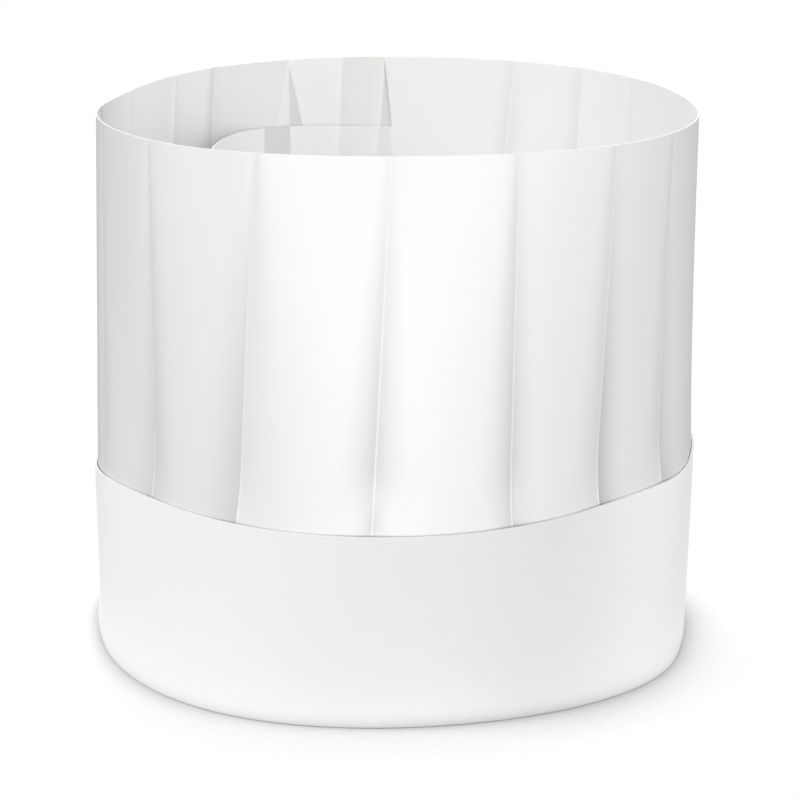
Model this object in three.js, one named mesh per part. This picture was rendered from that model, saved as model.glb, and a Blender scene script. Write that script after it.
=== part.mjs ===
// Disposable paper chef hat: a pleated paper sheet wound once round into an open tube, in a card headband.
// Millimetres, +Z up, front towards -Y. The origin is on the surface the hat stands on, in the middle of
// its plan. Azimuths are in degrees: 0 at the front, growing towards +X, and past 180 where the sheet laps
// over itself.

import * as THREE from 'three';

// Heights above the surface that the hat stands on
const HAT_HEIGHT = 178;
const BAND_HEIGHT = 61.8;
const SHEET_FOOT = 12;

// Walls, and the air left between two layers that lie on each other
const PAPER = 1.0;
const CARD = 1.2;
const LAYER_GAP = 0.4;

// Plan outline at three heights: a mean radius about a centre, the waves that take it off round, and the
// soft corners left and right where the hat was folded flat for packing
const OUTLINES = [
  {
    height: 0, radius: 101.1, centreX: -1.4, centreY: -0.1,
    oval: -1.3, ovalSkew: 0.8, egg: 2.0, eggSkew: -0.6, square: -1.4, squareSkew: -1.2,
    leftCorner: -1.8, leftAt: -88.8, rightCorner: -2.6, rightAt: 80.1,
  },
  {
    height: BAND_HEIGHT, radius: 99.5, centreX: 1.9, centreY: 2.6,
    oval: 1.9, ovalSkew: -3.2, egg: 3.6, eggSkew: -0.6, square: -0.4, squareSkew: 0.3,
    leftCorner: 6.2, leftAt: -73.7, rightCorner: 4.5, rightAt: 68.8,
  },
  {
    height: HAT_HEIGHT, radius: 99.2, centreX: 1.9, centreY: -1.5,
    oval: 3.4, ovalSkew: -0.45, egg: -2.6, eggSkew: -0.6, square: -1.6, squareSkew: 0,
    leftCorner: 2.5, leftAt: -80.6, rightCorner: 0.4, rightAt: 78.7,
  },
];
const CORNER_WIDTH = 16;

// Creases of the sheet, one row each: where it meets the rim and the band, how deep it is pressed in at the
// band, and how wide the dent is there on either side. All of them fade out towards the rim.
const CREASES = [
  { atRim: -176.8, atBand: -172, depth: 2.4, reach: 9 },
  { atRim: -168.5, atBand: -164, depth: 2.0, reach: 8 },
  { atRim: -157.6, atBand: -156, depth: 5.0, reach: 14 },
  { atRim: -139.7, atBand: -134, depth: 4.6, reach: 15 },
  { atRim: -127.1, atBand: -121, depth: 2.4, reach: 11 },
  { atRim: -105.6, atBand: -102, depth: 3.2, reach: 15 },
  { atRim: -87, atBand: -88, depth: 2.8, reach: 12 },
  { atRim: -68, atBand: -72, depth: 3.0, reach: 13 },
  { atRim: -47.7, atBand: -52, depth: 3.6, reach: 15 },
  { atRim: -25, atBand: -29.2, depth: 4.0, reach: 15 },
  { atRim: -1.4, atBand: -4.7, depth: 4.4, reach: 16 },
  { atRim: 20.9, atBand: 20.5, depth: 4.4, reach: 15 },
  { atRim: 39.9, atBand: 42.2, depth: 4.8, reach: 18 },
  { atRim: 56.5, atBand: 62.8, depth: 3.4, reach: 14 },
  { atRim: 77, atBand: 83, depth: 3.0, reach: 14 },
  { atRim: 97.3, atBand: 103, depth: 3.2, reach: 15 },
  { atRim: 125.2, atBand: 128, depth: 3.6, reach: 14 },
  { atRim: 140.6, atBand: 144, depth: 3.2, reach: 12 },
  { atRim: 156.3, atBand: 162, depth: 3.2, reach: 12 },
];
const RIM_DEPTH = 0.25;
const RIM_REACH = 2.5;

// Ends of the sheet. It starts outside at the back right, goes round by the left and the front, and ends
// inside. From the step on it is cut lower than the rim, and past its last crease this tab leaves the wall
// in a curl.
const SHEET_START = -197;
const SHEET_END = 243;
const LAP_EASE = { from: 100, to: 155 };
const STEP = { atRim: 183.2, atCut: 181.6, atBand: 180 };
const TAB_CUT = { fromHeight: 153.1, toHeight: 154.6, toAzimuth: 203 };
const TAB_CREASE = { atRim: 208, atBand: 211.5 };
const TAB_CURL = { from: 208.5, reach: 20.5, depth: 21 };

// Ends of the card strip: its inner end lies under its outer one at the back
const STRIP_START = -200;
const STRIP_END = 192;
const STRIP_EASE = { from: 118, to: 156 };
const STRIP_STEP = 4;

// How finely the sheet is divided: places across each panel between two creases, and heights of the rows
const PANEL_PLACES = [0, 0.12, 0.35, 0.65, 0.88];
const ROWS_BELOW_CUT = [SHEET_FOOT, BAND_HEIGHT, 80, 100, 120, 138];
const ROWS_ABOVE_CUT = [166, HAT_HEIGHT];
const CUT_ROW = ROWS_BELOW_CUT.length;

const radians = THREE.MathUtils.degToRad;
const mix = THREE.MathUtils.lerp;
const ease = THREE.MathUtils.smoothstep;

// Signed angle from b to a, between -180 and 180 degrees
function turnBetween(a, b) {
  return THREE.MathUtils.euclideanModulo(a - b + 180, 360) - 180;
}

// Radius of one row of the outline table
function rowRadius(row, azimuth) {
  const turn = radians(azimuth);
  const corner = (size, at) => size * Math.exp(-((turnBetween(azimuth, at) / CORNER_WIDTH) ** 2));
  return row.radius
    + row.oval * Math.cos(2 * turn) + row.ovalSkew * Math.sin(2 * turn)
    + row.egg * Math.cos(3 * turn) + row.eggSkew * Math.sin(3 * turn)
    + row.square * Math.cos(4 * turn) + row.squareSkew * Math.sin(4 * turn)
    + corner(row.leftCorner, row.leftAt) + corner(row.rightCorner, row.rightAt);
}

// The outline at any height: straight up and down between the two rows of the table that enclose it
function outlineAt(height) {
  const [below, above] = height > BAND_HEIGHT ? OUTLINES.slice(1) : OUTLINES;
  const share = (height - below.height) / (above.height - below.height);
  return {
    height,
    centreX: mix(below.centreX, above.centreX, share),
    centreY: mix(below.centreY, above.centreY, share),
    radiusAt: (azimuth) => mix(rowRadius(below, azimuth), rowRadius(above, azimuth), share),
  };
}

function pointAt(outline, azimuth, radius) {
  const turn = radians(azimuth);
  return new THREE.Vector3(
    outline.centreX + radius * Math.sin(turn),
    outline.centreY - radius * Math.cos(turn),
    outline.height,
  );
}

// How far down from the rim to the band a height is, from 0 to 1
function shareDown(height) {
  return Math.min(1, (HAT_HEIGHT - height) / (HAT_HEIGHT - BAND_HEIGHT));
}

// How far the creases press the sheet inwards at a place. Both layers of the lap use it, so they nest.
function creaseDent(azimuth, height, radius) {
  const down = shareDown(height);
  const dents = CREASES.map(({ atRim, atBand, depth, reach }) => {
    const along = radians(Math.abs(turnBetween(azimuth, mix(atRim, atBand, down)))) * radius;
    const near = Math.max(0, 1 - along / mix(RIM_REACH, reach, down));
    return mix(RIM_DEPTH, depth, down) * near * near;
  });
  return Math.max(...dents);
}

// Height of the low-cut edge of the tab
function cutHeight(azimuth) {
  const share = THREE.MathUtils.clamp((azimuth - STEP.atCut) / (TAB_CUT.toAzimuth - STEP.atCut), 0, 1);
  return mix(TAB_CUT.fromHeight, TAB_CUT.toHeight, share);
}

// How far the tab has curled away from the wall
function curlDepth(azimuth, height) {
  const past = Math.max(0, azimuth - TAB_CURL.from) / TAB_CURL.reach;
  const lift = (height - SHEET_FOOT) / (TAB_CUT.toHeight - SHEET_FOOT);
  return TAB_CURL.depth * (1 - Math.exp(-past * past)) * Math.max(0, lift);
}

// Radius of the outside of the sheet: it stands inside the card at the band and spreads to the full outline
// at the rim
function sheetRadius(outline, azimuth) {
  const inside = (CARD + LAYER_GAP) * shareDown(outline.height);
  const lap = (PAPER + LAYER_GAP) * ease(azimuth, LAP_EASE.from, LAP_EASE.to);
  const radius = outline.radiusAt(azimuth) - inside - lap;
  return radius - creaseDent(azimuth, outline.height, radius) - curlDepth(azimuth, outline.height);
}

// Radius of the outside of the card strip: its outer end lies on top of its inner one
function stripRadius(outline, azimuth) {
  const lap = (CARD + LAYER_GAP) * ease(azimuth, STRIP_EASE.from, STRIP_EASE.to);
  return outline.radiusAt(azimuth) + lap;
}

// A closed wall over a grid of cells. faces[0] and faces[1] are its outer and inner faces, each
// faces[side][column][row], and isCut leaves cells out. Every open side of a cell is closed from face to
// face.
function wallGeometry(faces, isCut) {
  const columns = faces[0].length;
  const rows = faces[0][0].length;
  const positions = faces.flat(2).flatMap((point) => point.toArray());
  const index = (side, column, row) => (side * columns + column) * rows + row;
  const isCell = (column, row) => column >= 0 && row >= 0 && column < columns - 1 && row < rows - 1
    && !isCut(column, row);
  const triangles = [];
  const quad = (a, b, c, d) => triangles.push(a, b, c, a, c, d);
  for (let column = 0; column < columns - 1; column += 1) {
    for (let row = 0; row < rows - 1; row += 1) {
      if (!isCell(column, row)) continue;
      const corners = [[column, row], [column + 1, row], [column + 1, row + 1], [column, row + 1]];
      const [outer, inner] = [0, 1].map((side) => corners.map(([i, j]) => index(side, i, j)));
      quad(...outer);
      quad(...inner.toReversed());
      const neighbours = [[column, row - 1], [column + 1, row], [column, row + 1], [column - 1, row]];
      neighbours.forEach(([i, j], side) => {
        const next = (side + 1) % 4;
        if (!isCell(i, j)) quad(outer[next], outer[side], inner[side], inner[next]);
      });
    }
  }
  const used = [...new Set(triangles)].sort((a, b) => a - b);
  const renumbered = new Map(used.map((old, place) => [old, place]));
  const geometry = new THREE.BufferGeometry();
  const kept = used.flatMap((old) => positions.slice(3 * old, 3 * old + 3));
  geometry.setAttribute('position', new THREE.Float32BufferAttribute(kept, 3));
  geometry.setIndex(triangles.map((old) => renumbered.get(old)));
  geometry.computeVertexNormals();
  return geometry;
}

// The lines along which the sheet is divided, from its outer end to its inner one, each as azimuths by
// height
function sheetLines() {
  const straight = ({ atRim, atBand }, turns = 0) => (height) => (
    mix(atRim, atBand, shareDown(height)) + 360 * turns
  );
  const upright = (azimuth) => () => azimuth;
  const step = (height) => {
    const cut = TAB_CUT.fromHeight;
    if (height > cut) return mix(STEP.atCut, STEP.atRim, (height - cut) / (HAT_HEIGHT - cut));
    return mix(STEP.atBand, STEP.atCut, Math.max(0, (height - BAND_HEIGHT) / (cut - BAND_HEIGHT)));
  };
  const underLap = CREASES.filter(({ atBand }) => atBand + 360 < SHEET_END);
  const wallCreases = underLap.slice(0, 3).map((crease) => straight(crease, 1));
  const freeCreases = underLap.slice(3).map((crease) => straight(crease, 1));
  const anchors = [
    upright(SHEET_START), ...CREASES.map((crease) => straight(crease)), step,
    ...wallCreases, straight(TAB_CREASE), ...freeCreases, upright(SHEET_END),
  ];
  const lines = [];
  anchors.slice(0, -1).forEach((anchor, place) => {
    const next = anchors[place + 1];
    PANEL_PLACES.forEach((share) => lines.push((height) => mix(anchor(height), next(height), share)));
  });
  lines.push(anchors.at(-1));
  return { lines, stepColumn: anchors.indexOf(step) * PANEL_PLACES.length };
}

function crownSheetGeometry() {
  const { lines, stepColumn } = sheetLines();
  const faces = [0, PAPER].map((inwards) => lines.map((line) => {
    const heights = [...ROWS_BELOW_CUT, cutHeight(line(TAB_CUT.fromHeight)), ...ROWS_ABOVE_CUT];
    return heights.map((height) => {
      const outline = outlineAt(height);
      const azimuth = line(height);
      return pointAt(outline, azimuth, sheetRadius(outline, azimuth) - inwards);
    });
  }));
  return wallGeometry(faces, (column, row) => column >= stepColumn && row >= CUT_ROW);
}

function headbandGeometry() {
  const count = Math.round((STRIP_END - STRIP_START) / STRIP_STEP);
  const azimuths = Array.from({ length: count + 1 }, (_, i) => mix(STRIP_START, STRIP_END, i / count));
  const faces = [0, CARD].map((inwards) => azimuths.map((azimuth) => [0, BAND_HEIGHT].map((height) => {
    const outline = outlineAt(height);
    return pointAt(outline, azimuth, stripRadius(outline, azimuth) - inwards);
  })));
  return wallGeometry(faces, () => false);
}

function crownSheet() {
  const paper = new THREE.MeshStandardMaterial({ color: 0xf6f5f4, roughness: 0.5, metalness: 0 });
  const mesh = new THREE.Mesh(crownSheetGeometry(), paper);
  mesh.name = 'crown_sheet';
  return mesh;
}

function headband() {
  const card = new THREE.MeshStandardMaterial({ color: 0xefeeed, roughness: 0.8, metalness: 0 });
  const mesh = new THREE.Mesh(headbandGeometry(), card);
  mesh.name = 'headband';
  return mesh;
}

const chefHat = new THREE.Group();
chefHat.add(crownSheet(), headband());

export default chefHat;
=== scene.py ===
import math
import bpy
import numpy as np
from mathutils import Matrix, Vector


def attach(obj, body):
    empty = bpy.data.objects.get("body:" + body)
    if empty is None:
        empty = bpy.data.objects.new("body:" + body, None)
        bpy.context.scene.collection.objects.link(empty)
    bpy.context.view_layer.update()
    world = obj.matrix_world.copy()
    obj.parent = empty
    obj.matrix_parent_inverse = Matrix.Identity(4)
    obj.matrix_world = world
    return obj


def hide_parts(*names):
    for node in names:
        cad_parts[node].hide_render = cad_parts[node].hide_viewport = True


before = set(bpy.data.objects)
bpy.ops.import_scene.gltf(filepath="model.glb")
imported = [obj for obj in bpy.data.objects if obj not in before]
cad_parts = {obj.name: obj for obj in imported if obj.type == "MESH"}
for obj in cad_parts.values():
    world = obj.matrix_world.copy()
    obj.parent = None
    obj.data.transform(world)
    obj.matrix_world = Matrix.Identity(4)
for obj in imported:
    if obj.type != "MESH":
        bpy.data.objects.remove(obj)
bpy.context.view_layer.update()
MM = 0.001

# Camera: a long lens a metre in front of the hat, a little above the rim, which sees the front of the
# headband, the pleated front of the crown and the inside of its back.
CAMERA_PLACE = (0.00206, -0.99617, 0.33857)
CAMERA_DOWN = 14.653
CAMERA_ROLL = 0.0785
LENS_MM = 139.26
SENSOR_MM = 36.0

camera_data = bpy.data.cameras.new("camera")
camera_data.lens = LENS_MM
camera_data.sensor_width = SENSOR_MM
camera = bpy.data.objects.new("camera", camera_data)
bpy.context.scene.collection.objects.link(camera)
tilt = Matrix.Rotation(math.radians(90.0 - CAMERA_DOWN), 4, "X")
roll = Matrix.Rotation(math.radians(CAMERA_ROLL), 4, "Z")
camera.matrix_world = Matrix.Translation(CAMERA_PLACE) @ tilt @ roll
bpy.context.scene.camera = camera

# Studio: an even white surround, and panels of light that stand round the hat. A long low strip in front
# gives the crown its satin sheen, and a high panel lights the inside over the front rim. Colours are kept as
# they are lit, without a film curve.
WHITE = (1.0, 1.0, 1.0, 1.0)
SURROUND_STRENGTH = 0.51
# Each panel: degrees round from the front to the right and up from level, metres wide and high, and watts
PANELS = {
    "high_panel": {"round": 0.0, "up": 50.0, "wide": 1.4, "high": 0.8, "watts": 6.8},
    "front_panel": {"round": 0.0, "up": 20.0, "wide": 1.4, "high": 0.8, "watts": 8.0},
    "front_strip": {"round": 3.0, "up": -8.5, "wide": 5.2, "high": 0.4, "watts": 26.5},
    "front_left_panel": {"round": -40.0, "up": 25.0, "wide": 1.0, "high": 1.0, "watts": 2.5},
    "left_panel": {"round": -80.0, "up": 45.0, "wide": 1.0, "high": 1.0, "watts": 14.0},
    "left_strip": {"round": -74.0, "up": -8.0, "wide": 1.8, "high": 0.4, "watts": 1.5},
    "right_strip": {"round": 66.0, "up": -8.0, "wide": 1.8, "high": 0.4, "watts": 2.1},
    "right_panel": {"round": 76.0, "up": 15.0, "wide": 1.0, "high": 1.0, "watts": 8.0},
    "back_panel": {"round": 180.0, "up": 55.0, "wide": 1.6, "high": 0.8, "watts": 30.0},
}
PANEL_DISTANCE = 2.4
AIM = Vector((0.0, 0.0, 0.09))

bpy.context.scene.view_settings.view_transform = "Standard"
for name, panel in PANELS.items():
    light_data = bpy.data.lights.new(name, "AREA")
    light_data.shape = "RECTANGLE"
    light_data.size = panel["wide"]
    light_data.size_y = panel["high"]
    light_data.energy = panel["watts"]
    light = bpy.data.objects.new(name, light_data)
    bpy.context.scene.collection.objects.link(light)
    turn = math.radians(panel["round"])
    rise = math.radians(panel["up"])
    outward = Vector((math.sin(turn) * math.cos(rise), -math.cos(turn) * math.cos(rise), math.sin(rise)))
    facing = (-outward).to_track_quat("-Z", "Y").to_matrix().to_4x4()
    light.matrix_world = Matrix.Translation(AIM + PANEL_DISTANCE * outward) @ facing


class Wire:
    """A socket of a node tree that takes part in Python arithmetic: each operator adds its Math node."""

    def __init__(self, tree, socket):
        self.tree = tree
        self.socket = socket

    def math(self, operation, *values):
        wired = dict(enumerate((self, *values)))
        return add_node(self.tree, "ShaderNodeMath", {"operation": operation}, wired)

    def __add__(self, other):
        return self.math("ADD", other)

    def __radd__(self, other):
        return self.math("ADD", other)

    def __sub__(self, other):
        return self.math("SUBTRACT", other)

    def __rsub__(self, other):
        return (self * -1.0).math("ADD", other)

    def __mul__(self, other):
        return self.math("MULTIPLY", other)

    def __rmul__(self, other):
        return self.math("MULTIPLY", other)

    def __truediv__(self, other):
        return self.math("DIVIDE", other)

    def __neg__(self):
        return self.math("MULTIPLY", -1.0)

    def clamped(self):
        return self.math("MAXIMUM", 0.0).math("MINIMUM", 1.0)


def add_node(tree, kind, settings=None, values=None, output=0):
    """Adds a node with its settings, then its socket values or links, and gives one output as a Wire."""
    node = tree.nodes.new(kind)
    for name, setting in (settings or {}).items():
        setattr(node, name, setting)
    for name, value in (values or {}).items():
        if isinstance(value, Wire):
            tree.links.new(value.socket, node.inputs[name])
        else:
            node.inputs[name].default_value = value
    return Wire(tree, node.outputs[output]) if node.outputs else None


def link_mesh(name, mesh):
    """Puts a mesh into the scene as an object at the origin."""
    piece = bpy.data.objects.new(name, mesh)
    bpy.context.scene.collection.objects.link(piece)
    return piece


surround = bpy.data.worlds.new("surround")
bpy.context.scene.world = surround
surround.use_nodes = True
surround.node_tree.nodes.clear()
seen = add_node(surround.node_tree, "ShaderNodeLightPath", output="Is Camera Ray")
surround_light = add_node(surround.node_tree, "ShaderNodeBackground", None, {
    "Color": WHITE, "Strength": SURROUND_STRENGTH + (1.0 - SURROUND_STRENGTH) * seen})
add_node(surround.node_tree, "ShaderNodeOutputWorld", None, {"Surface": surround_light})

# Crown: one sheet of white paper, pleated lengthwise, then wound once round into an open tube whose ends lap
# over each other at the back. Its inner end is a tab that is cut lower than the rim and curls into the hat.
# The sheet is drawn flat with its creases pressed, wound by a node tree, and given its thickness last.
HAT_HEIGHT = 178.0
BAND_HEIGHT = 61.8
SHEET_FOOT = 12.4
PAPER = 0.4
# How far the sheet stands inside the outline at the band, and its inner layer inside its outer one
SHEET_SETBACK = 1.0
LAP_SETBACK = 0.8
# One degree of the way round, on the flat sheet
MEAN_RADIUS = 99.5
DEGREE = math.radians(1.0) * MEAN_RADIUS

# Plan outline at the hat's foot, at the headband's upper edge and at the rim: a mean radius about a centre,
# the waves that take it off round, and the soft corners left and right where the hat was folded flat for
# packing. Millimetres and degrees.
CORNER_WIDTH = 16.0
OUTLINES = {
    "foot": {
        "radius": 101.1, "centre_x": -1.4, "centre_y": -0.1,
        "oval": -1.3, "oval_skew": 0.8, "egg": 2.0, "egg_skew": -0.6, "square": -1.4, "square_skew": -1.2,
        "left_corner": -1.8, "left_at": -88.8, "right_corner": -2.6, "right_at": 80.1},
    "band": {
        "radius": 99.5, "centre_x": 1.9, "centre_y": 2.6,
        "oval": 1.9, "oval_skew": -3.2, "egg": 3.6, "egg_skew": -0.6, "square": -0.4, "square_skew": 0.3,
        "left_corner": 6.2, "left_at": -73.7, "right_corner": 4.5, "right_at": 68.8},
    "rim": {
        "radius": 99.2, "centre_x": 1.9, "centre_y": -1.5,
        "oval": 3.4, "oval_skew": -0.45, "egg": -2.6, "egg_skew": -0.6, "square": -1.6, "square_skew": 0.0,
        "left_corner": 2.5, "left_at": -80.6, "right_corner": 0.4, "right_at": 78.7},
}

# Creases: where each meets the rim and the band (degrees), and at both heights how deep it is pressed in and
# how far its two flanks reach to either side (millimetres). A few turn outwards near the rim: their depth is
# negative. Painted shade darkens the flanks beside each fold: how much on the left and on the right, at the
# rim and at the band, and how far the painted shade reaches at both heights.
CREASES = [
    {"rim": -176.8, "band": -172.0, "rim_depth": 1.2, "rim_left": 3.0, "rim_right": 5.0,
     "depth": 2.4, "left": 9.0, "right": 9.0,
     "rim_painted_shade": (0.00, 0.00), "painted_shade": (0.00, 0.00), "painted_shade_reach": (4.0, 12.0)},
    {"rim": -168.5, "band": -164.0, "rim_depth": 0.5, "rim_left": 3.0, "rim_right": 3.0,
     "depth": 2.0, "left": 8.0, "right": 8.0,
     "rim_painted_shade": (0.00, 0.00), "painted_shade": (0.00, 0.00), "painted_shade_reach": (4.0, 12.0)},
    {"rim": -157.6, "band": -156.0, "rim_depth": -1.2, "rim_left": 3.0, "rim_right": 4.0,
     "depth": 3.0, "left": 14.0, "right": 14.0,
     "rim_painted_shade": (0.00, 0.00), "painted_shade": (0.00, 0.00), "painted_shade_reach": (4.0, 12.0)},
    {"rim": -139.7, "band": -134.0, "rim_depth": -1.0, "rim_left": 7.0, "rim_right": 2.5,
     "depth": 4.6, "left": 15.0, "right": 15.0,
     "rim_painted_shade": (0.05, 0.22), "painted_shade": (0.10, 0.38), "painted_shade_reach": (5.0, 14.0)},
    {"rim": -127.1, "band": -121.0, "rim_depth": 0.4, "rim_left": 3.0, "rim_right": 3.0,
     "depth": 2.4, "left": 11.0, "right": 11.0,
     "rim_painted_shade": (0.06, 0.00), "painted_shade": (0.10, 0.10), "painted_shade_reach": (4.0, 10.0)},
    {"rim": -105.6, "band": -102.0, "rim_depth": 0.3, "rim_left": 3.0, "rim_right": 3.0,
     "depth": 3.2, "left": 15.0, "right": 15.0,
     "rim_painted_shade": (0.00, 0.06), "painted_shade": (0.10, 0.15), "painted_shade_reach": (6.0, 12.0)},
    {"rim": -87.0, "band": -88.0, "rim_depth": 0.25, "rim_left": 2.5, "rim_right": 2.5,
     "depth": 0.7, "left": 12.0, "right": 12.0,
     "rim_painted_shade": (0.22, 0.30), "painted_shade": (0.36, 0.46), "painted_shade_reach": (45.0, 40.0)},
    {"rim": -68.0, "band": -72.0, "rim_depth": 0.25, "rim_left": 2.5, "rim_right": 2.5,
     "depth": 1.4, "left": 13.0, "right": 13.0,
     "rim_painted_shade": (0.05, 0.05), "painted_shade": (0.12, 0.08), "painted_shade_reach": (5.0, 13.0)},
    {"rim": -47.7, "band": -52.0, "rim_depth": 0.25, "rim_left": 2.5, "rim_right": 2.5,
     "depth": 2.3, "left": 15.0, "right": 15.0,
     "rim_painted_shade": (0.03, 0.05), "painted_shade": (0.26, 0.14), "painted_shade_reach": (4.0, 17.0)},
    {"rim": -25.0, "band": -29.2, "rim_depth": 0.25, "rim_left": 2.5, "rim_right": 2.5,
     "depth": 2.5, "left": 15.0, "right": 15.0,
     "rim_painted_shade": (0.07, 0.05), "painted_shade": (0.34, 0.06), "painted_shade_reach": (5.0, 21.0)},
    {"rim": -1.4, "band": -4.7, "rim_depth": 0.25, "rim_left": 2.5, "rim_right": 2.5,
     "depth": 2.7, "left": 16.0, "right": 16.0,
     "rim_painted_shade": (0.06, 0.07), "painted_shade": (0.31, 0.25), "painted_shade_reach": (5.0, 15.0)},
    {"rim": 20.9, "band": 20.5, "rim_depth": 0.25, "rim_left": 2.5, "rim_right": 2.5,
     "depth": 2.7, "left": 15.0, "right": 15.0,
     "rim_painted_shade": (0.10, 0.12), "painted_shade": (0.30, 0.36), "painted_shade_reach": (6.0, 11.0)},
    {"rim": 39.9, "band": 42.2, "rim_depth": 0.25, "rim_left": 2.5, "rim_right": 2.5,
     "depth": 2.8, "left": 18.0, "right": 18.0,
     "rim_painted_shade": (0.07, 0.09), "painted_shade": (0.06, 0.50), "painted_shade_reach": (7.0, 15.0)},
    {"rim": 56.5, "band": 62.8, "rim_depth": 0.25, "rim_left": 2.5, "rim_right": 2.5,
     "depth": 2.2, "left": 14.0, "right": 14.0,
     "rim_painted_shade": (0.03, 0.05), "painted_shade": (0.02, 0.36), "painted_shade_reach": (5.0, 16.0)},
    {"rim": 77.0, "band": 83.0, "rim_depth": 0.25, "rim_left": 2.5, "rim_right": 2.5,
     "depth": 0.7, "left": 14.0, "right": 14.0,
     "rim_painted_shade": (0.00, 0.00), "painted_shade": (0.10, 0.05), "painted_shade_reach": (5.0, 12.0)},
    {"rim": 97.3, "band": 103.0, "rim_depth": -0.3, "rim_left": 4.0, "rim_right": 2.5,
     "depth": 3.2, "left": 15.0, "right": 15.0,
     "rim_painted_shade": (0.03, 0.03), "painted_shade": (0.15, 0.15), "painted_shade_reach": (4.0, 12.0)},
    {"rim": 125.2, "band": 128.0, "rim_depth": -0.4, "rim_left": 5.0, "rim_right": 2.5,
     "depth": 3.6, "left": 14.0, "right": 14.0,
     "rim_painted_shade": (0.03, 0.03), "painted_shade": (0.15, 0.15), "painted_shade_reach": (4.0, 12.0)},
    {"rim": 140.6, "band": 144.0, "rim_depth": -0.8, "rim_left": 7.0, "rim_right": 2.5,
     "depth": 3.2, "left": 12.0, "right": 12.0,
     "rim_painted_shade": (0.00, 0.08), "painted_shade": (0.05, 0.25), "painted_shade_reach": (8.0, 14.0)},
    {"rim": 156.3, "band": 162.0, "rim_depth": 0.3, "rim_left": 6.0, "rim_right": 6.0,
     "depth": 3.2, "left": 12.0, "right": 12.0,
     "rim_painted_shade": (0.05, 0.09), "painted_shade": (0.15, 0.30), "painted_shade_reach": (8.0, 14.0)},
]

# Painted shade darkens the front at its rim, fading to the band: how much, how far to either side (degrees)
RIM_PAINTED_SHADE = 0.075
RIM_PAINTED_SHADE_REACH = 25.0

# Facets of the inside darkened by painted shade, each between two lines that run from the rim to the band
FACETS = [
    {"from": (-157.6, -170.0), "to": (-157.6, -156.0), "painted_shade": 0.20},
    {"from": (-176.8, -172.0), "to": (-168.5, -164.0), "painted_shade": 0.08},
    {"from": (-182.0, -200.0), "to": (-176.8, -172.0), "painted_shade": 0.12},
    {"from": (-157.6, -141.0), "to": (-139.7, -134.0), "painted_shade": 0.06},
    {"from": (202.4, 204.0), "to": (208.0, 211.5), "painted_shade": 0.20},
    {"from": (183.4, 176.5), "to": (191.5, 196.0), "painted_shade": 0.05},
]
FACET_EDGE = 0.25

# Each fold stands up as a thin ridge of broken fibres: how high at the rim and at the band, and half its
# width. The painted shade beside it stays off the ridge.
RIDGE_AT_RIM = 0.06
RIDGE_AT_BAND = 0.2
RIDGE_HALF_WIDTH = 0.4
# The glue holds the sheet flatter against the card: from how far down, and by how much
GLUED_FROM = 0.82
GLUED_FLAT = 0.85

# Ends of the sheet. It starts outside at the back right, goes round by the left and the front, and ends
# inside. Between two places on the right it draws in under its own start.
SHEET_START = -197.0
SHEET_END = 243.0
LAP_FROM = 100.0
LAP_TO = 155.0
# The step down to the tab, the tab's sloping cut, its crease, which lies after so many of the creases of the
# inner layer, and the curl of its free end. Degrees and millimetres.
STEP_RIM = 183.2
STEP_CUT = 181.6
STEP_BAND = 180.0
TAB_CUT_LOW = 153.1
TAB_CUT_HIGH = 154.6
TAB_CUT_END = 203.0
TAB_CREASE_RIM = 208.0
TAB_CREASE_BAND = 211.5
TAB_CREASE_AFTER = 3
CURL_FROM = 208.5
CURL_REACH = 20.5
CURL_DEPTH = 21.0

# Places across a panel, as distances from a crease, of which those past a share of its width are left out,
# then the widest step in between and the rows' spacing
CREASE_PLACES = [0.0, 0.2, 0.4, 0.8, 1.4, 2.2, 3.2]
CREASE_PLACES_END = 0.45
PANEL_STEP = 2.0
ROW_STEP = 2.9
# Edges that turn more sharply than this stay crisp
EDGE_ANGLE = 50.0
# Faint ripples of the paper: how deep, how fine, and which draw of the noise. They are read round a ring of
# noise of this radius, and stretched upright.
RIPPLE_DEPTH = 0.3
RIPPLE_SCALE = 28.0
RIPPLE_SEED = 3.0
RIPPLE_RING = 0.1
RIPPLE_UPRIGHT = 0.45


def share_down(height):
    """How far down from the rim to the band a height is, from 0 to 1."""
    return np.minimum(1.0, (HAT_HEIGHT - height) / (HAT_HEIGHT - BAND_HEIGHT))


def mix(first, second, share):
    """What lies that share of the way from the first to the second."""
    return first + (second - first) * share


def crease_press(azimuth, height):
    """How far the creases press the sheet in. Each has a thin ridge of folded fibres along its middle."""
    down = share_down(height)
    glued = 1.0 - GLUED_FLAT * np.clip((down - GLUED_FROM) / (1.0 - GLUED_FROM), 0.0, 1.0) ** 2
    pressed = np.zeros_like(azimuth)
    ridge = np.zeros_like(azimuth)
    for crease in CREASES:
        turn = (azimuth - mix(crease["rim"], crease["band"], down) + 180.0) % 360.0 - 180.0
        along = np.abs(turn) * DEGREE
        left = mix(crease["rim_left"], crease["left"], down)
        right = mix(crease["rim_right"], crease["right"], down)
        near = np.maximum(0.0, 1.0 - along / np.where(turn < 0.0, left, right))
        dent = mix(crease["rim_depth"], crease["depth"], down) * glued * near ** 2
        pressed = np.where(np.abs(dent) > np.abs(pressed), dent, pressed)
        ridge = np.maximum(ridge, 1.0 - along / RIDGE_HALF_WIDTH)
    return pressed - mix(RIDGE_AT_RIM, RIDGE_AT_BAND, down) * ridge


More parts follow.
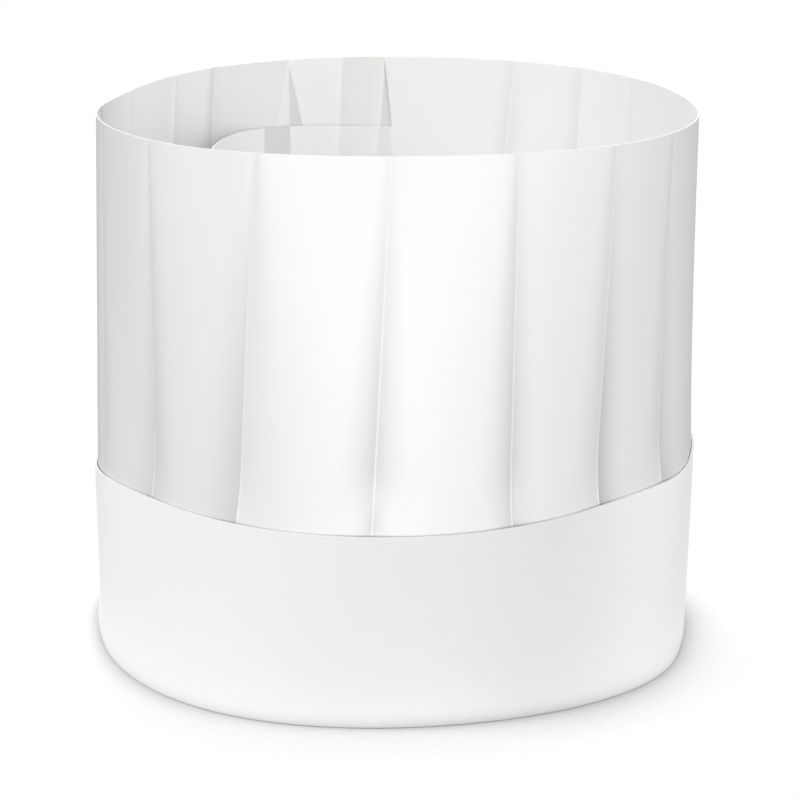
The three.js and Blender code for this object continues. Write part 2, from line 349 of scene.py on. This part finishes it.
def crease_painted_shade(azimuth, height):
    """How much painted shade darkens the paper beside its folds, which stay white, and a little at the
    front's rim.
    """
    down = share_down(height)
    # Painted shade towards the front's rim
    front = RIM_PAINTED_SHADE * (1.0 - down) * np.exp(-(azimuth / RIM_PAINTED_SHADE_REACH) ** 2)
    painted_shade = np.zeros_like(azimuth)
    fold = np.ones_like(azimuth)
    for crease in CREASES:
        turn = azimuth - mix(crease["rim"], crease["band"], down)
        reach = mix(*crease["painted_shade_reach"], down)
        along = np.abs(turn) * DEGREE
        near = np.maximum(0.0, 1.0 - along / reach)
        left, right = [mix(crease["rim_painted_shade"][side], crease["painted_shade"][side], down) for side in (0, 1)]
        painted_shade = np.maximum(painted_shade, np.where(turn < 0.0, left, right) * near ** 2)
        fold = np.minimum(fold, along / RIDGE_HALF_WIDTH)
    return front + painted_shade * fold


def step_line(height):
    """Azimuth of the upright edge where the sheet is cut down to the tab."""
    above = mix(STEP_CUT, STEP_RIM, (height - TAB_CUT_LOW) / (HAT_HEIGHT - TAB_CUT_LOW))
    below = mix(STEP_BAND, STEP_CUT, np.maximum(0.0, (height - BAND_HEIGHT) / (TAB_CUT_LOW - BAND_HEIGHT)))
    return np.where(height > TAB_CUT_LOW, above, below)


def cut_height(azimuth):
    """Height of the tab's upper edge."""
    share = np.clip((azimuth - STEP_CUT) / (TAB_CUT_END - STEP_CUT), 0.0, 1.0)
    return mix(TAB_CUT_LOW, TAB_CUT_HIGH, share)


def sheet_lines():
    """Lines that run up the sheet, from end to end, each as a function of height, and the step's place."""
    def straight(rim, band):
        return lambda height: mix(rim, band, share_down(height))

    def part_way(left, right, share):
        return lambda height: mix(left(height), right(height), share)

    outer = [straight(crease["rim"], crease["band"]) for crease in CREASES]
    inner = [straight(crease["rim"] + 360.0, crease["band"] + 360.0)
             for crease in CREASES if crease["band"] + 360.0 < SHEET_END]
    inner.insert(TAB_CREASE_AFTER, straight(TAB_CREASE_RIM, TAB_CREASE_BAND))
    start, end = straight(SHEET_START, SHEET_START), straight(SHEET_END, SHEET_END)
    anchors = [start, *outer, step_line, *inner, end]
    lines = []
    step_place = None
    for left, right in zip(anchors, anchors[1:]):
        if left is step_line:
            step_place = len(lines)
        width = (right(BAND_HEIGHT) - left(BAND_HEIGHT)) * DEGREE
        edge = [place / width for place in CREASE_PLACES if place < CREASE_PLACES_END * width]
        steps = max(2, math.ceil(width * (1.0 - 2.0 * edge[-1]) / PANEL_STEP))
        middle = np.linspace(edge[-1], 1.0 - edge[-1], steps + 1)
        shares = [*edge, *middle[1:-1], *[1.0 - place for place in reversed(edge[1:])]]
        lines += [part_way(left, right, share) for share in shares]
    lines.append(anchors[-1])
    return lines, step_place


def flat_sheet(name, azimuths, heights, measures, cut_from=(math.inf, math.inf)):
    """A flat mesh, the way round along X and the height up Z, with its measures. A part may be cut off."""
    columns, rows = azimuths.shape
    flat = np.stack([azimuths * DEGREE, np.zeros_like(azimuths), heights], axis=-1) * MM
    faces = []
    for column in range(columns - 1):
        for row in range(rows - 1):
            if column < cut_from[0] or row < cut_from[1]:
                corner = column * rows + row
                faces.append((corner, corner + rows, corner + rows + 1, corner + 1))
    used = np.unique(faces)
    number = np.full(columns * rows, -1)
    number[used] = np.arange(len(used))
    mesh = bpy.data.meshes.new(name)
    mesh.from_pydata(flat.reshape(-1, 3)[used].tolist(), [], number[np.array(faces)].tolist())
    for measure, values in {"azimuth": azimuths, **measures}.items():
        mesh.attributes.new(measure, "FLOAT", "POINT").data.foreach_set(
            "value", values.reshape(-1)[used].astype(np.float32))
    return mesh


def outline_radius(row, azimuth):
    """Radius of one of the outlines about its centre, by azimuth, as nodes."""
    def corner(size, at):
        off = (azimuth - at).math("WRAP", 180.0, -180.0) / CORNER_WIDTH
        return size * (-(off * off)).math("EXPONENT")

    turn = azimuth * math.radians(1.0)
    radius = corner(row["left_corner"], row["left_at"]) + corner(row["right_corner"], row["right_at"])
    for count, wave in ((2.0, "oval"), (3.0, "egg"), (4.0, "square")):
        radius += row[wave] * (turn * count).math("COSINE")
        radius += row[wave + "_skew"] * (turn * count).math("SINE")
    return (radius + row["radius"]) * MM


def apart(tree, vector, axis):
    """One part of a vector."""
    return add_node(tree, "ShaderNodeSeparateXYZ", None, {"Vector": vector}, output=axis)


def winding_tree():
    """Geometry nodes that wind a flat sheet round the hat's plan outline."""
    tree = bpy.data.node_groups.new("winding", "GeometryNodeTree")
    tree.interface.new_socket("Sheet", in_out="INPUT", socket_type="NodeSocketGeometry")
    for name in ("Set Back At Band", "Lap From", "Lap To", "Lap Set Back", "Curl From", "Curl Reach",
                 "Curl Depth", "Curl Foot", "Curl Top", "Ripple Depth", "Ripple Scale", "Ripple Seed"):
        tree.interface.new_socket(name, in_out="INPUT", socket_type="NodeSocketFloat")
    tree.interface.new_socket("Material", in_out="INPUT", socket_type="NodeSocketMaterial")
    tree.interface.new_socket("Wound", in_out="OUTPUT", socket_type="NodeSocketGeometry")

    def given(name):
        return add_node(tree, "NodeGroupInput", output=name)

    along, height = [apart(tree, add_node(tree, "GeometryNodeInputPosition"), axis) for axis in ("X", "Z")]
    azimuth = along / (DEGREE * MM)
    turn = azimuth * math.radians(1.0)
    to_band = (height / (BAND_HEIGHT * MM)).clamped()
    to_rim = ((height - BAND_HEIGHT * MM) / ((HAT_HEIGHT - BAND_HEIGHT) * MM)).clamped()

    foot, band, rim = [outline_radius(row, azimuth) for row in OUTLINES.values()]
    outline = foot + (band - foot) * to_band + (rim - band) * to_rim
    centres = []
    for axis in ("centre_x", "centre_y"):
        low, middle, high = [row[axis] * MM for row in OUTLINES.values()]
        centres.append(to_band * (middle - low) + to_rim * (high - middle) + low)
    lap = add_node(tree, "ShaderNodeMapRange", {"interpolation_type": "SMOOTHSTEP"}, {
        "Value": azimuth, "From Min": given("Lap From"), "From Max": given("Lap To")})
    past = ((azimuth - given("Curl From")) / given("Curl Reach")).math("MAXIMUM", 0.0)
    lift = ((height - given("Curl Foot")) / (given("Curl Top") - given("Curl Foot"))).math("MAXIMUM", 0.0)
    curl = given("Curl Depth") * (1.0 - (-(past * past)).math("EXPONENT")) * lift
    pressed = add_node(
        tree, "GeometryNodeInputNamedAttribute", {"data_type": "FLOAT"}, {"Name": "pressed"})
    cosine = turn.math("COSINE")
    sine = turn.math("SINE")
    around = add_node(tree, "ShaderNodeCombineXYZ", None, {
        "X": sine * RIPPLE_RING, "Y": cosine * -RIPPLE_RING, "Z": height * RIPPLE_UPRIGHT})
    ripple = add_node(tree, "ShaderNodeTexNoise", {"noise_dimensions": "4D"}, {
        "Vector": around, "W": given("Ripple Seed"), "Scale": given("Ripple Scale"), "Detail": 2.0}) - 0.5
    radius = outline - given("Set Back At Band") * (1.0 - to_rim) - given("Lap Set Back") * lap
    radius = radius - pressed - curl + ripple * given("Ripple Depth")
    wound = add_node(tree, "ShaderNodeCombineXYZ", None, {
        "X": centres[0] + radius * sine, "Y": centres[1] - radius * cosine, "Z": height})
    moved = add_node(tree, "GeometryNodeSetPosition", None, {
        "Geometry": given("Sheet"), "Position": wound})
    realized = add_node(tree, "GeometryNodeRealizeInstances", None, {"Geometry": moved})
    painted = add_node(tree, "GeometryNodeSetMaterial", None, {
        "Geometry": realized, "Material": given("Material")})
    add_node(tree, "NodeGroupOutput", None, {"Wound": painted})
    return tree


winding = winding_tree()
OUTER_FACE, INNER_FACE, CUT_FACE = 0, 1, 2


def wind(piece, sizes, thickness, material, inner_material, edge_material):
    """Winds a flat sheet by the tree and gives it its thickness, and leaves the piece a plain mesh."""
    outer_faces = len(piece.data.polygons)
    modifier = piece.modifiers.new("winding", "NODES")
    modifier.node_group = winding
    for item in winding.interface.items_tree:
        if item.item_type == "SOCKET" and item.in_out == "INPUT" and item.name != "Sheet":
            modifier[item.identifier] = material if item.name == "Material" else float(sizes[item.name])
    wall = piece.modifiers.new("thickness", "SOLIDIFY")
    wall.thickness = thickness
    wall.offset = -1.0
    evaluated = piece.evaluated_get(bpy.context.evaluated_depsgraph_get())
    wound = bpy.data.meshes.new_from_object(evaluated)
    piece.modifiers.clear()
    piece.data = wound
    wound.materials.append(inner_material)
    wound.materials.append(edge_material)
    side = np.full(len(wound.polygons), CUT_FACE, np.int32)
    side[:outer_faces] = OUTER_FACE
    side[outer_faces:2 * outer_faces] = INNER_FACE
    wound.polygons.foreach_set("material_index", side)
    wound.shade_smooth()
    wound.set_sharp_from_angle(angle=math.radians(EDGE_ANGLE))


def mix_colours(tree, share, first, second):
    """A Mix node for colours, whose sockets go by number because their names repeat."""
    sockets = {0: share, 6: first, 7: second}
    return add_node(tree, "ShaderNodeMix", {"data_type": "RGBA"}, sockets, output=2)


# Paper: how fine its cloudy formation, its fibres and its upright streaks are, their shares in its tone, how
# dark its thin places are, how far its gloss varies, how deep its tooth is (metres) and the streaks' part in
# it, and the dark colour that its painted shade leans to
CLOUD_SCALE = 95.0
FIBRE_SCALE = 1900.0
STREAK_SCALE = 420.0
STREAK_STRETCH = (1.0, 1.0, 0.04)
CLOUD_SHARE = 0.5
FIBRE_SHARE = 0.25
STREAK_SHARE = 0.25
CLOUD_SHADE = 0.985
GLOSS_SPREAD = 0.12
TOOTH_DEPTH = 0.00012
STREAK_TOOTH = 0.6
PAINTED_SHADE_COLOUR = (0.08, 0.06, 0.04, 1.0)


def paper_material(name, colour, roughness, specular, tooth, sheen=0.0, coat=0.0, facets=()):
    """White paper: faint fibre flecks and clouds in the colour, an uneven gloss, a fine tooth and painted
    shade.
    """
    material = bpy.data.materials.new(name)
    material.use_nodes = True
    tree = material.node_tree
    tree.nodes.clear()
    place = add_node(tree, "ShaderNodeTexCoord", output="Object")
    cloud = add_node(tree, "ShaderNodeTexNoise", None, {
        "Vector": place, "Scale": CLOUD_SCALE, "Detail": 3.0})
    fibre = add_node(tree, "ShaderNodeTexNoise", None, {
        "Vector": place, "Scale": FIBRE_SCALE, "Detail": 2.0, "Distortion": 1.2})
    stretch = add_node(tree, "ShaderNodeMapping", None, {"Vector": place, "Scale": STREAK_STRETCH})
    streak = add_node(tree, "ShaderNodeTexNoise", None, {
        "Vector": stretch, "Scale": STREAK_SCALE, "Detail": 2.0})
    tone = (CLOUD_SHARE * cloud + FIBRE_SHARE * fibre + STREAK_SHARE * streak).clamped()
    thin = [share * CLOUD_SHADE for share in colour]
    base = mix_colours(tree, tone, (*thin, 1.0), (*colour, 1.0))
    # Painted shade, from the mesh and from the facets, mixes the colour towards a dark one
    painted_shade, azimuth = [add_node(tree, "ShaderNodeAttribute", {"attribute_name": measure}, output="Fac")
                     for measure in ("painted_shade", "azimuth")]
    down = (HAT_HEIGHT * MM - apart(tree, place, "Z")) / ((HAT_HEIGHT - BAND_HEIGHT) * MM)
    # Painted shade on facets of the inside, between their two lines
    for facet in facets:
        low, high = [mix(*facet[end], down) for end in ("from", "to")]
        inside = ((azimuth - low) / FACET_EDGE).clamped() * ((high - azimuth) / FACET_EDGE).clamped()
        painted_shade += facet["painted_shade"] * inside
    grain = add_node(tree, "ShaderNodeBump", None, {
        "Height": fibre + STREAK_TOOTH * streak, "Strength": tooth, "Distance": TOOTH_DEPTH})
    skin = add_node(tree, "ShaderNodeBsdfPrincipled", None, {
        "Base Color": mix_colours(tree, painted_shade.clamped(), base, PAINTED_SHADE_COLOUR),
        "Roughness": roughness + GLOSS_SPREAD * (tone - 0.5), "Normal": grain,
        "Specular IOR Level": specular, "Sheen Weight": sheen, "Sheen Roughness": 0.6,
        "Coat Weight": coat, "Coat Roughness": 0.3})
    add_node(tree, "ShaderNodeOutputMaterial", None, {"Surface": skin})
    return material


# The outside of the sheet is calendered to a satin sheen, and its back and cut edges are matte. The back's
# colour is whiter than the outside's, though it is the same paper: painted light that brightens the inside.
crown_paper = paper_material(
    "crown_paper", (0.81, 0.808, 0.803), roughness=0.3, specular=1.0, tooth=0.12, coat=0.5)
# The back: a whiter colour than the outside's, painted light that brightens the inside
crown_back = paper_material(
    "crown_paper_back", (0.965, 0.96, 0.955), roughness=0.75, specular=0.2, tooth=0.3, facets=FACETS)
crown_edge = paper_material(
    "crown_paper_edge", (0.95, 0.95, 0.948), roughness=0.8, specular=0.2, tooth=0.3)

# Columns follow the creases, and rows the tab's cut. What lies past the step and above the cut is cut away.
lines, step_place = sheet_lines()
row_heights = np.linspace(SHEET_FOOT, TAB_CUT_LOW, round((TAB_CUT_LOW - SHEET_FOOT) / ROW_STEP) + 1)
rows_above = np.linspace(TAB_CUT_LOW, HAT_HEIGHT, round((HAT_HEIGHT - TAB_CUT_LOW) / ROW_STEP) + 1)
cut_row = len(row_heights) - 1
azimuth_columns = []
height_columns = []
for line in lines:
    cut = cut_height(float(line(np.array(TAB_CUT_LOW))))
    below = mix(SHEET_FOOT, cut, (row_heights - SHEET_FOOT) / (TAB_CUT_LOW - SHEET_FOOT))
    above = mix(cut, HAT_HEIGHT, (rows_above - TAB_CUT_LOW) / (HAT_HEIGHT - TAB_CUT_LOW))
    column_heights = np.concatenate([below, above[1:]])
    height_columns.append(column_heights)
    azimuth_columns.append(line(column_heights) * np.ones_like(column_heights))
azimuths = np.array(azimuth_columns)
heights = np.array(height_columns)
# The painted shade beside the creases is kept on the mesh for the paper's colour
measures = {"pressed": crease_press(azimuths, heights) * MM, "painted_shade": crease_painted_shade(azimuths, heights)}
crown = link_mesh("crown", flat_sheet("crown", azimuths, heights, measures, cut_from=(step_place, cut_row)))
wind(crown, {
    "Set Back At Band": SHEET_SETBACK * MM,
    "Lap From": LAP_FROM, "Lap To": LAP_TO, "Lap Set Back": LAP_SETBACK * MM,
    "Curl From": CURL_FROM, "Curl Reach": CURL_REACH, "Curl Depth": CURL_DEPTH * MM,
    "Curl Foot": SHEET_FOOT * MM, "Curl Top": TAB_CUT_HIGH * MM,
    "Ripple Depth": RIPPLE_DEPTH * MM, "Ripple Scale": RIPPLE_SCALE, "Ripple Seed": RIPPLE_SEED,
}, PAPER * MM, crown_paper, crown_back, crown_edge)
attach(crown, "root")
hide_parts("crown_sheet")

# Headband: one strip of plain white card wound round the foot of the crown and glued, its outer end lying
# on its inner one at the back. The cut edges are a little soft.
STRIP_START = -200.0
STRIP_END = 192.0
STRIP_LAP_FROM = 118.0
STRIP_LAP_TO = 156.0
CARD = 0.8
CARD_GAP = 0.25
EDGE_BEVEL = 0.2
EDGE_STEPS = 2
STRIP_COLUMNS = 360
STRIP_ROWS = 14
STRIP_RIPPLE_DEPTH = 0.25
STRIP_RIPPLE_SCALE = 22.0
STRIP_RIPPLE_SEED = 8.0
# Painted shade across the card's front: how much, at which azimuth, how far (degrees)
BAND_PAINTED_SHADES = [(0.16, 0.0, 45.0), (0.11, 31.0, 18.0)]

headband_card = paper_material(
    "headband_card", (0.895, 0.891, 0.892), roughness=0.75, specular=0.3, tooth=0.3, sheen=0.5)
headband_edge = paper_material(
    "headband_card_edge", (0.93, 0.928, 0.926), roughness=0.8, specular=0.2, tooth=0.3)
strip_azimuths, strip_heights = np.meshgrid(
    np.linspace(STRIP_START, STRIP_END, STRIP_COLUMNS), np.linspace(0.0, BAND_HEIGHT, STRIP_ROWS),
    indexing="ij")
# Painted shade across the card's front, kept on the mesh for its colour
band_painted_shade = sum(painted_shade * np.exp(-((strip_azimuths - at) / reach) ** 2) for painted_shade, at, reach in BAND_PAINTED_SHADES)
band = link_mesh("band", flat_sheet("band", strip_azimuths, strip_heights, {"painted_shade": band_painted_shade}))
wind(band, {
    "Set Back At Band": 0.0,
    "Lap From": STRIP_LAP_FROM, "Lap To": STRIP_LAP_TO, "Lap Set Back": -(CARD + CARD_GAP) * MM,
    "Curl From": STRIP_END, "Curl Reach": 1.0, "Curl Depth": 0.0,
    "Curl Foot": 0.0, "Curl Top": BAND_HEIGHT * MM,
    "Ripple Depth": STRIP_RIPPLE_DEPTH * MM, "Ripple Scale": STRIP_RIPPLE_SCALE,
    "Ripple Seed": STRIP_RIPPLE_SEED,
}, CARD * MM, headband_card, headband_card, headband_edge)
band_edge = band.modifiers.new("soft_edges", "BEVEL")
band_edge.width = EDGE_BEVEL * MM
band_edge.segments = EDGE_STEPS
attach(band, "root")
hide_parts("headband")

# Floor: a pale apron of paper that the hat stands on, which fades into the white surround. It isn't part of
# the hat. A soft shadow is painted into its colour along the hat's foot, where little light gets under the
# card.
FLOOR_HALF = 0.42
FLOOR_LEVEL = -0.0001
FLOOR_GRAIN_SCALE = 9.0
FLOOR_TONES = [(0.955, 0.955, 0.955, 1.0), (0.965, 0.965, 0.965, 1.0)]
FLOOR_FADE_FROM = 0.100
FLOOR_FADE_TO = 0.134
FOOT_SHADE = 0.34
FOOT_SHADE_REACH = 0.0045
BLACK = (0.0, 0.0, 0.0, 1.0)

floor_mesh = bpy.data.meshes.new("floor")
floor_mesh.from_pydata(
    [(x * FLOOR_HALF, y * FLOOR_HALF, FLOOR_LEVEL) for x, y in ((-1, -1), (1, -1), (1, 1), (-1, 1))],
    [], [(0, 1, 2, 3)])
floor = link_mesh("floor", floor_mesh)
floor_paper = bpy.data.materials.new("floor_paper")
floor_paper.use_nodes = True
floor_tree = floor_paper.node_tree
floor_tree.nodes.clear()
floor_place = add_node(floor_tree, "ShaderNodeTexCoord", output="Object")
floor_grain = add_node(floor_tree, "ShaderNodeTexNoise", None, {
    "Vector": floor_place, "Scale": FLOOR_GRAIN_SCALE})
foot_x = apart(floor_tree, floor_place, "X") - OUTLINES["foot"]["centre_x"] * MM
foot_y = apart(floor_tree, floor_place, "Y") - OUTLINES["foot"]["centre_y"] * MM
foot_reach = (foot_x * foot_x + foot_y * foot_y).math("SQRT")
foot_azimuth = foot_x.math("ARCTAN2", -foot_y) * math.degrees(1.0)
from_foot = (foot_reach - outline_radius(OUTLINES["foot"], foot_azimuth)).math("ABSOLUTE")
# Painted shadow along the hat's foot, mixed into the floor's colour
foot_shade = FOOT_SHADE * (from_foot / -FOOT_SHADE_REACH).math("EXPONENT")
floor_shown = add_node(floor_tree, "ShaderNodeMapRange", {"interpolation_type": "SMOOTHSTEP"}, {
    "Value": foot_reach, "From Min": FLOOR_FADE_FROM, "From Max": FLOOR_FADE_TO,
    "To Min": 1.0, "To Max": 0.0})
floor_tone = mix_colours(floor_tree, floor_grain, *FLOOR_TONES)
floor_skin = add_node(floor_tree, "ShaderNodeBsdfPrincipled", None, {
    "Alpha": floor_shown, "Base Color": mix_colours(floor_tree, foot_shade, floor_tone, BLACK),
    "Roughness": 0.8 + 0.1 * floor_grain, "Specular IOR Level": 0.1})
add_node(floor_tree, "ShaderNodeOutputMaterial", None, {"Surface": floor_skin})
floor_mesh.materials.append(floor_paper)
